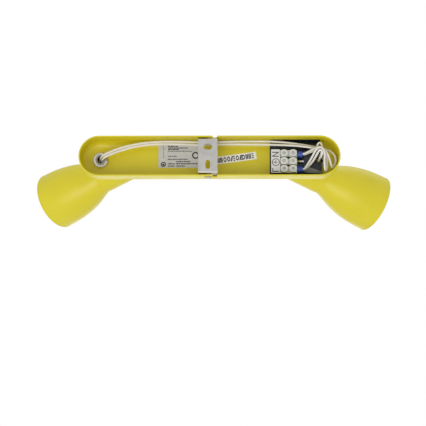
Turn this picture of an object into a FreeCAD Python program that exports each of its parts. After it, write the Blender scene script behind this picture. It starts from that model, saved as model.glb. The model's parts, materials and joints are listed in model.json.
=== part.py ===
import FreeCAD, Part
import math
import os

# Two-head spotlight bar for a wall or ceiling. Millimetres, +Z up.
# The origin is on the wall, at the middle of the wall bracket's back face.
# +Y points from the wall into the room and +X along the bar.

V = FreeCAD.Vector
EX, EY, EZ = V(1, 0, 0), V(0, 1, 0), V(0, 0, 1)

# ---- Driving dimensions ----
# Bar housing: a deep-drawn tray with round ends, open towards the wall.
BAR_LENGTH = 262.0
BAR_HEIGHT = 41.0
BAR_DEPTH = 25.0
BAR_WALL = 1.2
BAR_EDGE_R = 8.0
STEM_X = (BAR_LENGTH - BAR_HEIGHT) / 2
FLOOR_Y = BAR_DEPTH - BAR_WALL

# Wall bracket, its two screws and the L slots that the screws lock in.
BRACKET_X = -1.6
BRACKET_WIDTH = 19.5
BRACKET_HEIGHT = 34.8
BRACKET_T = 1.5
BRACKET_LEG = 11.0
BRACKET_SPLAY = 1.6
BRACKET_SCREW_R = 2.0
BRACKET_PIN_R = 1.6
BRACKET_BEND_R = 1.2
BRACKET_SCREW_Y = 6.5
BRACKET_SCREW_HEAD_R = 3.4
KNURL_CUTS = 10
KNURL_R = 0.5
BRACKET_TRAVEL = 7.0
WALL_SLOT_Z = 9.0
WALL_SLOTS = [(WALL_SLOT_Z, 8.6, 5.7), (-WALL_SLOT_Z, 4.7, 9.1)]

# Swivel: an M10 x 1 tube through the bar, locked by a nut inside the tray.
TUBE_R = 5.0
TUBE_BORE_R = 3.4
TUBE_MOUTH_R = 4.85
TUBE_MOUTH_DEPTH = 2.8
TUBE_START_Y = {-1: 16.8, 1: 19.85}
TUBE_END_Y = 40.0
NUT_FLATS = 14.0
NUT_T = 2.8
NUT_CORNER_CUT = 1.0
LOCK_WASHER_R = 7.4
LOCK_WASHER_T = 0.8
RUN_GAP = 0.08

# Stem and its fork.
STEM_R = 6.2
FOOT_R = 9.0
FOOT_T = 2.5
HINGE_Y = 69.0
EAR_R = 6.2
EAR_T = 3.0
FORK_GAP = 5.8
FORK_FLOOR_Y = 62.0
FORK_ROOT_Y = 54.0
FORK_ROUND_R = 8.0

# Tilt hinge and lug.
LUG_T = 4.6
HINGE_SCREW_R = 2.0
HINGE_TO_AXIS = 24.0
WASHER_T = 0.5
SADDLE_HALF = 7.5
SADDLE_WIDTH = 12.0
SADDLE_T = 1.4

# Head, measured along its own axis from the foot of the hinge's perpendicular.
CUP_R = 17.0
CUP_WALL = 0.9
CUP_BACK = -27.0
CUP_FRONT = 18.6
CUP_EDGE_R = 5.0
COLLAR_LENGTH = 7.0
SHADE_WALL = 0.9
SHADE_LENGTH = 67.4
SHADE_PROFILE = [(0.0, 16.0), (0.12, 18.3), (0.30, 23.4), (0.50, 27.4), (0.75, 30.0), (1.0, 30.5)]
BEAD_R = 0.8

# Lampholder for a small screw cap (14 mm).
HOLDER_R = 12.5
HOLDER_BACK = -12.0
HOLDER_FRONT = 27.0
SHELL_BORE_R = 6.95
SHELL_T = 0.4
SHELL_LENGTH = 17.0
HOLDER_MOUTH_R = 9.5
HOLDER_SCREW_OFF = 8.0
HOLDER_SEAT_R = 8.5
GROMMET_S = -17.0
GROMMET_R = 3.2
SMALL_SCREW_R = 1.5

# Rest angles of each head: from straight ahead, and below the horizontal.
HEADS = {"left": {"side": -1, "tilt": 59.0, "droop": 20.2},
         "right": {"side": 1, "tilt": 68.5, "droop": 22.2}}

# Terminal block.
BLOCK_X = 79.6
BLOCK_Z = -3.2
BLOCK_LENGTH = 17.0
POLE_PITCH = 8.0
POLE_WIDTH = 7.1
BLOCK_HEIGHT = 13.5
BLOCK_BASE_T = 2.5
SHEET_T = 0.4
SHEET_X = (61.0, 111.6)
SHEET_TOP_Y = 13.0
COVER_Y = 19.2
COVER_FOOT_Y = 22.8
COVER_TOP_Z = 9.0
COVER_SLOPE = 4.5
COVER_HOLE_R = 4.2
# Along X: the height of the lower crease, and where the flap below it ends as (y, z).
COVER_SECTIONS = [(95.3, -6.4, (21.9, -12.6)), (113.6, -12.4, (20.2, -14.8))]
BLOCK_FOOT_Y = FLOOR_Y - SHEET_T
ENTRY_Y = BLOCK_FOOT_Y - 6.5
PLATE_WIDTH = 9.0
PLATE_HEIGHT = 24.0
PLATE_TOP_Y = 11.5
POLES = [BLOCK_Z + k * POLE_PITCH for k in (-1, 0, 1)]
TOWER_X = 4.5
SLEEVE_R = 2.4
CLAMP_BORE_R = 1.6
CLAMP_SCREW_R = 1.3
CLAMP_HEAD_R = 1.6
CLAMP_WELL_R = 1.75
CLAMP_WELL_DEPTH = 1.2
BLOCK_PINS = [(BLOCK_X, BLOCK_Z - POLE_PITCH / 2), (BLOCK_X, BLOCK_Z + POLE_PITCH / 2)]
BLOCK_PIN_R = 1.4
BLOCK_PIN_LENGTH = 2.6
EARTH_STUD = (98.6, -1.6)
EARTH_STUD_R = 1.5
EARTH_STUD_LENGTH = 3.8

# Labels inside the tray.
LABEL_T = 0.15
RATING_LABEL = (-52.0, -9.0, -7.6, 16.4)
BATCH_LABEL_SIZE = (42.0, 7.8)
BATCH_LABEL_X = 26.5
BATCH_LABEL_Z = 2.4
BATCH_LABEL_TURN = 7.9

# Insulated leads.
LEAD_R = 1.1
LEAD_PITCH = 2.3
LEAD_IN_TUBE_Y = 38.0
COLLAR_R = 3.5
COLLAR_RUN = 5.6
EARTH_LEAD_R = 1.1
EARTH_TAG_T = 0.8
EARTH_BARREL_Y = FLOOR_Y - 2.6


# ---- Small helpers ----
def cylinder(radius, start, end):
    """A cylinder from one point to another."""
    axis = end - start
    return Part.makeCylinder(radius, axis.Length, start, axis)


def tube(outer, inner, start, end):
    """A hollow cylinder."""
    return cylinder(outer, start, end).cut(cylinder(inner, start, end))


def box(low, high):
    """A box between two corners."""
    size = V(*high) - V(*low)
    return Part.makeBox(size.x, size.y, size.z, V(*low))


def prism(points, axis_vector):
    """A closed outline pushed along a vector."""
    return Part.Face(Part.makePolygon(points + points[:1])).extrude(axis_vector)


def hexagon(centre, axis, across_flats, height):
    """A hexagonal prism with its axis through centre."""
    side = axis.cross(EX if abs(axis.x) < 0.9 else EZ).normalize()
    other = axis.cross(side)
    reach = across_flats / math.sqrt(3)
    corners = []
    for k in range(6):
        turn = math.radians(60 * k)
        corners.append(centre + side * (reach * math.cos(turn)) + other * (reach * math.sin(turn)))
    return prism(corners, axis * height)


def stadium(inset, depth, edge_r):
    """The bar's round-ended block, with its front edge rounded."""
    radius = BAR_HEIGHT / 2 - inset
    middle = box((-STEM_X, 0, -radius), (STEM_X, depth, radius))
    ends = [cylinder(radius, V(x, 0, 0), V(x, depth, 0)) for x in (-STEM_X, STEM_X)]
    block = middle.fuse(ends).removeSplitter()
    front = [e for e in block.Edges if e.BoundBox.YMin > depth - 0.01]
    return block.makeFillet(edge_r, front)


def fused(shapes):
    """One solid from touching shapes."""
    return shapes[0].fuse(shapes[1:]).removeSplitter()


def pan_screw(seat, axis, head_r, head_h, shank_r, shank_length):
    """A cross-recess pan-head screw. axis points from the head to the tip."""
    head = cylinder(head_r, seat - axis * head_h, seat)
    top = [e for e in head.Edges if (e.BoundBox.Center - seat + axis * head_h).Length < 0.01]
    head = head.makeFillet(head_h * 0.45, top[:1])
    screw = head.fuse(cylinder(shank_r, seat, seat + axis * shank_length))
    side = axis.cross(EX if abs(axis.x) < 0.9 else EZ).normalize()
    for across in (side, axis.cross(side)):
        arm = head_r * 0.55
        width = head_r * 0.12
        other = axis.cross(across)
        corner = seat - axis * (head_h + 0.1) - across * arm - other * width
        outline = [corner, corner + across * 2 * arm, corner + across * 2 * arm + other * 2 * width,
                   corner + other * 2 * width]
        screw = screw.cut(prism(outline, axis * (head_h * 0.6)))
    return screw.removeSplitter()


def lead(points, radius=LEAD_R):
    """A round lead along straight runs joined by tangent arcs, as large as the runs allow."""
    edges = []
    radii = []
    start = points[0]
    for before, corner, after in zip(points, points[1:], points[2:]):
        back, on = (before - corner), (after - corner)
        reach = 0.45 * min(back.Length, on.Length)
        half_turn = (math.pi - back.getAngle(on)) / 2
        arc_r = reach / math.tan(half_turn)
        radii.append(arc_r)
        enter = corner + back.normalize() * reach
        leave = corner + on.normalize() * reach
        inward = (back + on).normalize()
        to_centre = arc_r / math.cos(half_turn)
        middle = corner + inward * (to_centre - arc_r)
        edges.append(Part.LineSegment(start, enter).toShape())
        edges.append(Part.Arc(enter, middle, leave).toShape())
        start = leave
    edges.append(Part.LineSegment(start, points[-1]).toShape())
    path = Part.Wire(edges)
    circle = Part.Wire(Part.Circle(points[0], (points[1] - points[0]), radius).toShape())
    solid = path.makePipeShell([circle], True, False)
    expected = math.pi * radius ** 2 * path.Length
    print("lead: length %.0f, volume ratio %.4f, radii %s"
          % (path.Length, solid.Volume / expected, " ".join("%.1f" % r for r in radii)))
    return solid


def save(name, shapes):
    """Write one node; several solids stay separate inside it."""
    shape = shapes if isinstance(shapes, Part.Shape) else Part.makeCompound(shapes)
    shape.exportStep("parts/%s.step" % name)


# ---- Bar housing ----
def bar_housing():
    """The painted tray, with a hole for each swivel tube and an L slot in each long wall."""
    tray = stadium(0, BAR_DEPTH, BAR_EDGE_R)
    tray = tray.cut(stadium(BAR_WALL, FLOOR_Y, BAR_EDGE_R - BAR_WALL))
    for side in (-1, 1):
        tray = tray.cut(cylinder(TUBE_R + RUN_GAP, V(side * STEM_X, FLOOR_Y - 1, 0),
                                 V(side * STEM_X, BAR_DEPTH + 1, 0)))
        tray = tray.cut(l_slot(side))
    return tray


def l_slot(side):
    """The slot in one long wall: in from the rim, then along to where the screw locks."""
    half = BRACKET_SCREW_R + 0.2
    z_low, z_high = sorted((side * (BAR_HEIGHT / 2 - 3), side * (BAR_HEIGHT / 2 + 1)))
    entry_x = BRACKET_X + BRACKET_TRAVEL
    entry = box((entry_x - half, -1, z_low), (entry_x + half, BRACKET_SCREW_Y, z_high))
    run = box((BRACKET_X, BRACKET_SCREW_Y - half, z_low), (entry_x, BRACKET_SCREW_Y + half, z_high))
    ends = [cylinder(half, V(x, BRACKET_SCREW_Y, z_low), V(x, BRACKET_SCREW_Y, z_high))
            for x in (BRACKET_X, entry_x)]
    return fused([entry, run] + ends)


# ---- Wall bracket ----
def wall_bracket():
    """A flat plate with two slots for wall screws and a threaded leg at each end."""
    half_z = BRACKET_HEIGHT / 2
    outer = bracket_block(0, half_z, BRACKET_LEG)
    bends = [e for e in outer.Edges if e.BoundBox.YMax < 0.01 and e.BoundBox.XLength > 1]
    outer = outer.makeFillet(BRACKET_BEND_R, bends)
    inner = bracket_block(BRACKET_T, half_z - BRACKET_T, BRACKET_LEG + 1)
    inner_bends = [e for e in inner.Edges
                   if abs(e.BoundBox.YMax - BRACKET_T) < 0.01 and e.BoundBox.XLength > 1]
    plate = outer.cut(inner.makeFillet(0.4, inner_bends))
    tips = [e for e in plate.Edges if e.BoundBox.YMin > BRACKET_LEG - 0.01
            and e.BoundBox.XLength < 0.01]
    plate = plate.makeFillet(2.5, tips)
    for z, width, height in WALL_SLOTS:
        plate = plate.cut(wall_slot(z, width, height))
    reach = V(0, 0, half_z + BRACKET_SPLAY + 1)
    hole_at = V(BRACKET_X, BRACKET_SCREW_Y, 0)
    plate = plate.cut(cylinder(BRACKET_SCREW_R, hole_at - reach, hole_at))
    return plate.cut(cylinder(BRACKET_PIN_R, hole_at, hole_at + reach))


def bracket_block(start_y, half_z, end_y):
    """A block as wide as the bracket whose top and bottom spread towards the tray's long walls."""
    rise = BRACKET_SPLAY / BRACKET_LEG
    low_z, high_z = half_z + rise * start_y, half_z + rise * end_y
    left = BRACKET_X - BRACKET_WIDTH / 2
    corners = [V(left, start_y, -low_z), V(left, end_y, -high_z), V(left, end_y, high_z),
               V(left, start_y, low_z)]
    return prism(corners, EX * BRACKET_WIDTH)


def wall_slot(z, width, height):
    """One round-ended slot through the plate."""
    radius = min(width, height) / 2
    run = max(width, height) / 2 - radius
    along = EX if width > height else EZ
    centre = V(BRACKET_X, -1, z)
    ends = [cylinder(radius, centre + along * s, centre + along * s + EY * 4) for s in (-run, run)]
    size = EX * (run if width > height else radius) + EZ * (radius if width > height else run)
    low, high = centre - size, centre + size + EY * 4
    return fused([box((low.x, low.y, low.z), (high.x, high.y, high.z))] + ends)


def bracket_screw():
    """The knurled screw from outside the lower wall into the bracket's leg."""
    seat = V(BRACKET_X, BRACKET_SCREW_Y, -BAR_HEIGHT / 2 - 0.05)
    screw = pan_screw(seat, EZ, BRACKET_SCREW_HEAD_R, 1.2, BRACKET_SCREW_R, 6.0)
    for k in range(KNURL_CUTS):
        turn = 2 * math.pi * (k + 0.5) / KNURL_CUTS
        at = seat + V(math.cos(turn), math.sin(turn), 0) * BRACKET_SCREW_HEAD_R
        screw = screw.cut(cylinder(KNURL_R, at - EZ * 2, at + EZ))
    return screw


def bracket_pin():
    """The headless pin in the upper leg that hooks into the upper L slot."""
    at = V(BRACKET_X, BRACKET_SCREW_Y, 0)
    low_z = BRACKET_HEIGHT / 2 - BRACKET_T - 0.3
    pin = cylinder(BRACKET_PIN_R, at + EZ * low_z, at + EZ * (BAR_HEIGHT / 2 - 0.2))
    return fused([pin, cylinder(BRACKET_PIN_R + 0.9, at + EZ * low_z, at + EZ * (low_z + 0.8))])


# ---- Swivel arm: tube, nut, washer, stem, hinge hardware ----
def stem_point(side, y):
    """A point on one swivel axis."""
    return V(side * STEM_X, y, 0)


def swivel_tube(side):
    """The hollow threaded tube, with a funnel at its inner mouth."""
    start = stem_point(side, TUBE_START_Y[side])
    part = tube(TUBE_R, TUBE_BORE_R, start, stem_point(side, TUBE_END_Y))
    return part.cut(Part.makeCone(TUBE_MOUTH_R, TUBE_BORE_R, TUBE_MOUTH_DEPTH, start, EY))


def swivel_nut(side):
    """A thin hexagon nut inside the tray, with its corners turned off."""
    top_y = FLOOR_Y - RUN_GAP - LOCK_WASHER_T - NUT_T
    nut = hexagon(stem_point(side, top_y), EY, NUT_FLATS, NUT_T)
    corner_r = NUT_FLATS / math.sqrt(3)
    low_r = corner_r - NUT_CORNER_CUT
    cone = Part.makeCone(low_r, low_r + NUT_T, NUT_T, stem_point(side, top_y), EY)
    return nut.common(cone).cut(cylinder(TUBE_R, stem_point(side, top_y - 1), stem_point(side, FLOOR_Y)))


def lock_washer(side):
    """A toothed washer under the nut."""
    low = stem_point(side, FLOOR_Y - RUN_GAP - LOCK_WASHER_T)
    washer = tube(LOCK_WASHER_R, TUBE_R, low, low + EY * LOCK_WASHER_T)
    teeth = 12
    for k in range(teeth):
        turn = math.radians(360.0 * k / teeth)
        at = low + V(LOCK_WASHER_R * math.cos(turn), -1, LOCK_WASHER_R * math.sin(turn))
        washer = washer.cut(cylinder(0.8, at, at + EY * 4))
    return washer


def head_frame(name):
    """One head's directions: opening axis, hinge axis, hinge-to-axis direction, axis foot."""
    head = HEADS[name]
    tilt, droop = math.radians(head["tilt"]), math.radians(head["droop"])
    axis = V(head["side"] * math.sin(tilt) * math.cos(droop), math.cos(tilt),
             -math.sin(tilt) * math.sin(droop))
    hinge_axis = EY.cross(axis).normalize()
    outward = axis.cross(hinge_axis)
    hinge = stem_point(head["side"], HINGE_Y)
    return axis, hinge_axis, outward, hinge, hinge + outward * HINGE_TO_AXIS


def stem(name):
    """The foot, the round stem and its fork."""
    side = HEADS[name]["side"]
    axis, hinge_axis, outward, hinge, foot = head_frame(name)
    across = hinge_axis.cross(EY)
    flange = cylinder(FOOT_R, stem_point(side, BAR_DEPTH + RUN_GAP),
                      stem_point(side, BAR_DEPTH + RUN_GAP + FOOT_T))
    rim = [e for e in flange.Edges if abs(e.BoundBox.YMax - BAR_DEPTH - RUN_GAP - FOOT_T) < 0.01
           and e.BoundBox.YLength < 0.01]
    flange = flange.makeFillet(1.5, rim)
    shaft = cylinder(STEM_R, stem_point(side, BAR_DEPTH + 1), stem_point(side, FORK_ROOT_Y + 2))
    half = FORK_GAP / 2 + EAR_T
    head = cylinder(EAR_R, hinge - hinge_axis * half, hinge + hinge_axis * half)
    low = stem_point(side, FORK_ROOT_Y)
    corners = [low + across * EAR_R, low - across * EAR_R, hinge - across * EAR_R,
               hinge + across * EAR_R]
    block = prism([c - hinge_axis * half for c in corners], hinge_axis * (2 * half))
    round_off = cylinder(FORK_ROUND_R, low - EY, stem_point(side, HINGE_Y + EAR_R + 1))
    fork = fused([block, head]).common(round_off)
    gap_low = stem_point(side, FORK_FLOOR_Y)
    reach = EAR_R + 2
    gap_top = stem_point(side, HINGE_Y + EAR_R + 2)
    gap = [gap_low + across * reach, gap_low - across * reach, gap_top - across * reach,
           gap_top + across * reach]
    gap_half = FORK_GAP / 2
    fork = fork.cut(prism([c - hinge_axis * gap_half for c in gap], hinge_axis * FORK_GAP))
    part = fused([flange, shaft, fork])
    part = part.cut(cylinder(TUBE_R, stem_point(side, BAR_DEPTH), stem_point(side, TUBE_END_Y)))
    part = part.cut(cylinder(TUBE_BORE_R, stem_point(side, TUBE_END_Y - 1),
                             stem_point(side, FORK_FLOOR_Y + 1)))
    pin_reach = hinge_axis * (half + 1)
    return part.cut(cylinder(HINGE_SCREW_R, hinge - pin_reach, hinge + pin_reach))


def hinge_screw(name):
    """The screw through the fork that the lug turns on."""
    axis, hinge_axis, outward, hinge, foot = head_frame(name)
    half = FORK_GAP / 2 + EAR_T
    return pan_screw(hinge - hinge_axis * half, hinge_axis, 3.2, 1.8, HINGE_SCREW_R, 2 * half + 2.4)


def hinge_nut(name):
    """A thin nut that sets the hinge's friction."""
    axis, hinge_axis, outward, hinge, foot = head_frame(name)
    half = FORK_GAP / 2 + EAR_T
    nut = hexagon(hinge + hinge_axis * half, hinge_axis, 7.0, 2.2)
    return nut.cut(cylinder(HINGE_SCREW_R, hinge, hinge + hinge_axis * (half + 4)))


def friction_washers(name):
    """Washers between the lug and each ear."""
    axis, hinge_axis, outward, hinge, foot = head_frame(name)
    washers = []
    for sign in (-1, 1):
        ear_face = hinge + hinge_axis * (sign * FORK_GAP / 2)
        inner_face = ear_face - hinge_axis * (sign * WASHER_T)
        washers.append(tube(5.0, HINGE_SCREW_R, ear_face, inner_face))
    return washers


# ---- Head ----
def revolve_about(outline, foot, axis, outward):
    """Turn an outline of (along, radius) points around the head's axis."""
    points = [foot + axis * s + outward * r for s, r in outline]
    face = Part.Face(Part.makePolygon(points + points[:1]))
    return face.revolve(foot, axis, 360)


def cup(name):
    """The round cup behind the shade, closed at the back."""
    axis, hinge_axis, outward, hinge, foot = head_frame(name)
    back, front = foot + axis * CUP_BACK, foot + axis * CUP_FRONT
    outer = cylinder(CUP_R, back, front)
    rear = [e for e in outer.Edges if (e.BoundBox.Center - back).Length < 0.5 and len(e.Vertexes) == 1]
    outer = outer.makeFillet(CUP_EDGE_R, rear[:1])
    inner = cylinder(CUP_R - CUP_WALL, back + axis * CUP_WALL, front + axis)
    inner_rear = [e for e in inner.Edges
                  if (e.BoundBox.Center - back - axis * CUP_WALL).Length < 0.5 and len(e.Vertexes) == 1]
    part = outer.cut(inner.makeFillet(CUP_EDGE_R - CUP_WALL, inner_rear[:1]))
    for start, end, radius in cup_holes(name):
        part = part.cut(cylinder(radius, start, end))
    return part


def cup_holes(name):
    """The lead's entry beside the lug, and the two holder screws at the back."""
    axis, hinge_axis, outward, hinge, foot = head_frame(name)
    entry = foot + axis * GROMMET_S
    holes = [(entry - outward * (CUP_R + 2), entry - outward * (CUP_R - 4), GROMMET_R)]
    for sign in (-1, 1):
        at = foot + axis * CUP_BACK + hinge_axis * (sign * HOLDER_SCREW_OFF)
        holes.append((at - axis, at + axis * 3, SMALL_SCREW_R))
    return holes


def shade_curve(inset, foot, axis, outward):
    """The bell's side as a smooth curve, set in by the wall's thickness."""
    points = []
    for share, radius in SHADE_PROFILE:
        points.append(foot + axis * (CUP_FRONT + share * SHADE_LENGTH) + outward * (radius - inset))
    curve = Part.BSplineCurve()
    curve.interpolate(points)
    return curve.toShape()


def shade(name):
    """The spun bell: a collar inside the cup, the flare, and a rolled bead at the rim."""
    axis, hinge_axis, outward, hinge, foot = head_frame(name)
    root_r = SHADE_PROFILE[0][1]
    rim_r = SHADE_PROFILE[-1][1]
    outer = shade_curve(0, foot, axis, outward)
    inner = shade_curve(SHADE_WALL, foot, axis, outward)
    ends = [foot + axis * CUP_FRONT + outward * root_r,
            foot + axis * (CUP_FRONT - COLLAR_LENGTH) + outward * root_r,
            foot + axis * (CUP_FRONT - COLLAR_LENGTH) + outward * (root_r - SHADE_WALL),
            foot + axis * CUP_FRONT + outward * (root_r - SHADE_WALL)]
    collar = [Part.LineSegment(a, b).toShape() for a, b in zip(ends, ends[1:])]
    rim_at = foot + axis * (CUP_FRONT + SHADE_LENGTH)
    lip = Part.LineSegment(rim_at + outward * (rim_r - SHADE_WALL), rim_at + outward * rim_r).toShape()
    bell = Part.Face(Part.Wire(Part.__sortEdges__([outer, inner, lip] + collar)))
    bell = bell.revolve(foot, axis, 360)
    bead_centre = rim_at + outward * (rim_r - SHADE_WALL / 2)
    bead = Part.Face(Part.Wire(Part.Circle(bead_centre, hinge_axis, BEAD_R).toShape()))
    return bell.fuse(bead.revolve(foot, axis, 360)).removeSplitter()


def lug(name):
    """The tongue of the hinge with a saddle that is welded to the cup."""
    axis, hinge_axis, outward, hinge, foot = head_frame(name)
    half = LUG_T / 2
    eye = cylinder(EAR_R - 0.2, hinge - hinge_axis * half, hinge + hinge_axis * half)
    root = hinge + outward * (HINGE_TO_AXIS - CUP_R + 3)
    corners = [hinge + axis * (EAR_R - 0.2), hinge - axis * (EAR_R - 0.2),
               root - axis * SADDLE_HALF, root + axis * SADDLE_HALF]
    tongue = prism([c - hinge_axis * half for c in corners], hinge_axis * LUG_T)
    saddle = cylinder(CUP_R + SADDLE_T, foot - axis * SADDLE_HALF, foot + axis * SADDLE_HALF)
    edge = hinge_axis * (SADDLE_WIDTH / 2)
    low = foot - axis * SADDLE_HALF - outward * (CUP_R + 3)
    high = low + axis * (2 * SADDLE_HALF)
    keep = prism([low - edge, high - edge, high + edge, low + edge], outward * 9)
    part = fused([tongue, eye, saddle.common(keep)])
    part = part.cut(cylinder(CUP_R, foot - axis * 20, foot + axis * 20))
    pin = hinge_axis * (half + 1)
    part = part.cut(cylinder(HINGE_SCREW_R + RUN_GAP, hinge - pin, hinge + pin))
    ears = cylinder(EAR_R + 0.5, hinge - hinge_axis * 7, hinge + hinge_axis * 7)
    slot = cylinder(EAR_R + 1, hinge - hinge_axis * half, hinge + hinge_axis * half)
    return part.cut(ears.cut(slot))


def lampholder(name):
    """The moulded holder: a stepped round body with a ribbed skirt and a deep socket."""
    axis, hinge_axis, outward, hinge, foot = head_frame(name)
    shell_floor = HOLDER_FRONT - 2 - SHELL_LENGTH
    outline = [(HOLDER_BACK, 0), (HOLDER_BACK, HOLDER_R - 1), (HOLDER_BACK + 1, HOLDER_R),
               (HOLDER_BACK + 14, HOLDER_R), (HOLDER_BACK + 16, HOLDER_R - 1.6),
               (HOLDER_FRONT - 0.6, HOLDER_R - 1.6), (HOLDER_FRONT, HOLDER_R - 2.2),
               (HOLDER_FRONT, HOLDER_MOUTH_R), (HOLDER_FRONT - 2, HOLDER_MOUTH_R),
               (HOLDER_FRONT - 2, SHELL_BORE_R + SHELL_T), (shell_floor, SHELL_BORE_R + SHELL_T),
               (shell_floor, 4.5), (shell_floor - 4, 4.5), (shell_floor - 4, 0)]
    return revolve_about(outline, foot, axis, outward)


def screw_shell(name):
    """The threaded metal shell of the socket."""
    axis, hinge_axis, outward, hinge, foot = head_frame(name)
    front = HOLDER_FRONT - 2
    return tube(SHELL_BORE_R + SHELL_T, SHELL_BORE_R, foot + axis * (front - SHELL_LENGTH),
                foot + axis * front)


def centre_contact(name):
    """The sprung tongue at the socket's floor, with its rivet."""
    axis, hinge_axis, outward, hinge, foot = head_frame(name)
    base = HOLDER_FRONT - 2 - SHELL_LENGTH - 4
    rivet = cylinder(1.5, foot + axis * base, foot + axis * (base + 1.2))
    width = 2.0
    outline = [(base + 1.0, -3.4), (base + 1.5, -3.4), (base + 3.6, 1.6), (base + 3.6, 3.0),
               (base + 3.1, 3.0), (base + 3.1, 1.4)]
    points = [foot + axis * s + outward * r - hinge_axis * width for s, r in outline]
    return fused([rivet, prism(points, hinge_axis * (2 * width))])


def holder_bracket(name):
    """A flanged steel seat that carries the lampholder on the cup's back."""
    axis, hinge_axis, outward, hinge, foot = head_frame(name)
    floor_s = CUP_BACK + CUP_WALL
    seat = cylinder(HOLDER_SEAT_R, foot + axis * (HOLDER_BACK - 1), foot + axis * HOLDER_BACK)
    legs = []
    for sign in (-1, 1):
        inner = foot + hinge_axis * (sign * (HOLDER_SCREW_OFF - 2.5))
        leg = [inner + axis * floor_s - outward * 4, inner + axis * floor_s + outward * 4,
               inner + axis * HOLDER_BACK + outward * 4, inner + axis * HOLDER_BACK - outward * 4]
        legs.append(prism(leg, hinge_axis * (sign * -1.0)))
        pad = [inner + axis * floor_s - outward * 4, inner + axis * floor_s + outward * 4,
               inner + axis * floor_s + outward * 4 + hinge_axis * (sign * 5),
               inner + axis * floor_s - outward * 4 + hinge_axis * (sign * 5)]
        legs.append(prism(pad, axis))
    part = fused([seat] + legs)
    for sign in (-1, 1):
        at = foot + axis * CUP_BACK + hinge_axis * (sign * HOLDER_SCREW_OFF)
        part = part.cut(cylinder(SMALL_SCREW_R, at, at + axis * 4))
    return part


def holder_screws(name):
    """Two screws through the cup's back into the holder's bracket."""
    axis, hinge_axis, outward, hinge, foot = head_frame(name)
    screws = []
    for sign in (-1, 1):
        seat = foot + axis * CUP_BACK + hinge_axis * (sign * HOLDER_SCREW_OFF)
        screws.append(pan_screw(seat, axis, 2.6, 1.6, SMALL_SCREW_R, 4.0))
    return screws


def grommet(name):
    """The soft bush in the cup's wall that the leads pass through."""
    axis, hinge_axis, outward, hinge, foot = head_frame(name)
    entry = foot + axis * GROMMET_S
    outline = [(CUP_R - CUP_WALL - 1.6, GROMMET_R + 1.2), (CUP_R - CUP_WALL - 0.5, GROMMET_R + 1.2),
               (CUP_R - CUP_WALL - 0.5, GROMMET_R), (CUP_R + 0.1, GROMMET_R),
               (CUP_R + 0.1, GROMMET_R + 1.2), (CUP_R + 1.2, GROMMET_R + 0.6), (CUP_R + 1.2, 2.2),
               (CUP_R - CUP_WALL - 1.6, 2.2)]
    points = [entry - outward * s + axis * r for s, r in outline]
    face = Part.Face(Part.makePolygon(points + points[:1]))
    return face.revolve(entry, outward, 360)


# ---- Terminal block and what is round it ----
def terminal_body():
    """The moulded block: a base, and two towers with a clamping sleeve between for each pole."""
    half_x = BLOCK_LENGTH / 2
    half_z = POLE_PITCH + POLE_WIDTH / 2
    base_y = BLOCK_FOOT_Y - BLOCK_BASE_T
    body = box((BLOCK_X - half_x + 0.5, base_y, BLOCK_Z - half_z),
               (BLOCK_X + half_x - 0.5, BLOCK_FOOT_Y, BLOCK_Z + half_z))
    towers = []
    holes = []
    for z in POLES:
        barrel = box((BLOCK_X - half_x, BLOCK_FOOT_Y - 10, z - POLE_WIDTH / 2),
                     (BLOCK_X + half_x, base_y + 0.5, z + POLE_WIDTH / 2))
        towers.append(barrel)
        for sign in (-1, 1):
            x = BLOCK_X + sign * TOWER_X
            tower = cylinder(POLE_WIDTH / 2 + 0.25, V(x, BLOCK_FOOT_Y - BLOCK_HEIGHT, z),
                             V(x, base_y, z))
            limit = box((x - 3.7, 0, z - POLE_WIDTH / 2), (x + 3.7, FLOOR_Y, z + POLE_WIDTH / 2))
            towers.append(tower.common(limit))
            top = V(x, BLOCK_FOOT_Y - BLOCK_HEIGHT - 1, z)
            holes.append(cylinder(CLAMP_WELL_R, top, V(x, ENTRY_Y, z)))
        holes.append(cylinder(SLEEVE_R, V(BLOCK_X - half_x - 1, ENTRY_Y, z),
                              V(BLOCK_X + half_x + 1, ENTRY_Y, z)))
    body = fused([body] + towers)
    for hole in holes:
        body = body.cut(hole)
    for x, z in BLOCK_PINS:
        body = body.cut(cylinder(BLOCK_PIN_R, V(x, base_y - 9, z), V(x, FLOOR_Y, z)))
    feet = [e for e in body.Edges if e.BoundBox.YMin > BLOCK_FOOT_Y - 0.01 and e.BoundBox.XLength > 5]
    return body.makeChamfer(1.8, feet)


def terminal_sleeves():
    """A brass clamping sleeve for each pole, with two threaded holes for its screws."""
    sleeves = []
    for z in POLES:
        ends = [V(BLOCK_X + s * (BLOCK_LENGTH / 2 - 1), ENTRY_Y, z) for s in (-1, 1)]
        sleeve = tube(SLEEVE_R, CLAMP_BORE_R, ends[0], ends[1])
        for sign in (-1, 1):
            x = BLOCK_X + sign * TOWER_X
            sleeve = sleeve.cut(cylinder(CLAMP_SCREW_R, V(x, ENTRY_Y - 4, z), V(x, ENTRY_Y, z)))
        sleeves.append(sleeve)
    return sleeves


def terminal_screws():
    """A slotted clamp screw down each tower."""
    screws = []
    for z in POLES:
        for sign in (-1, 1):
            x = BLOCK_X + sign * TOWER_X
            top_y = BLOCK_FOOT_Y - BLOCK_HEIGHT + CLAMP_WELL_DEPTH
            head = cylinder(CLAMP_HEAD_R, V(x, top_y, z), V(x, top_y + 1.0, z))
            shank = cylinder(CLAMP_SCREW_R, V(x, top_y + 1.0, z), V(x, ENTRY_Y - 1.55, z))
            slot = box((x - 0.25, top_y - 1, z - 3), (x + 0.25, top_y + 0.6, z + 3))
            screws.append(head.fuse(shank).cut(slot).removeSplitter())
    return screws


def block_pins():
    """Two pins welded inside the tray that the block presses onto."""
    low_y = FLOOR_Y - BLOCK_PIN_LENGTH
    return [cylinder(BLOCK_PIN_R, V(x, low_y, z), V(x, FLOOR_Y, z)) for x, z in BLOCK_PINS]


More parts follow.
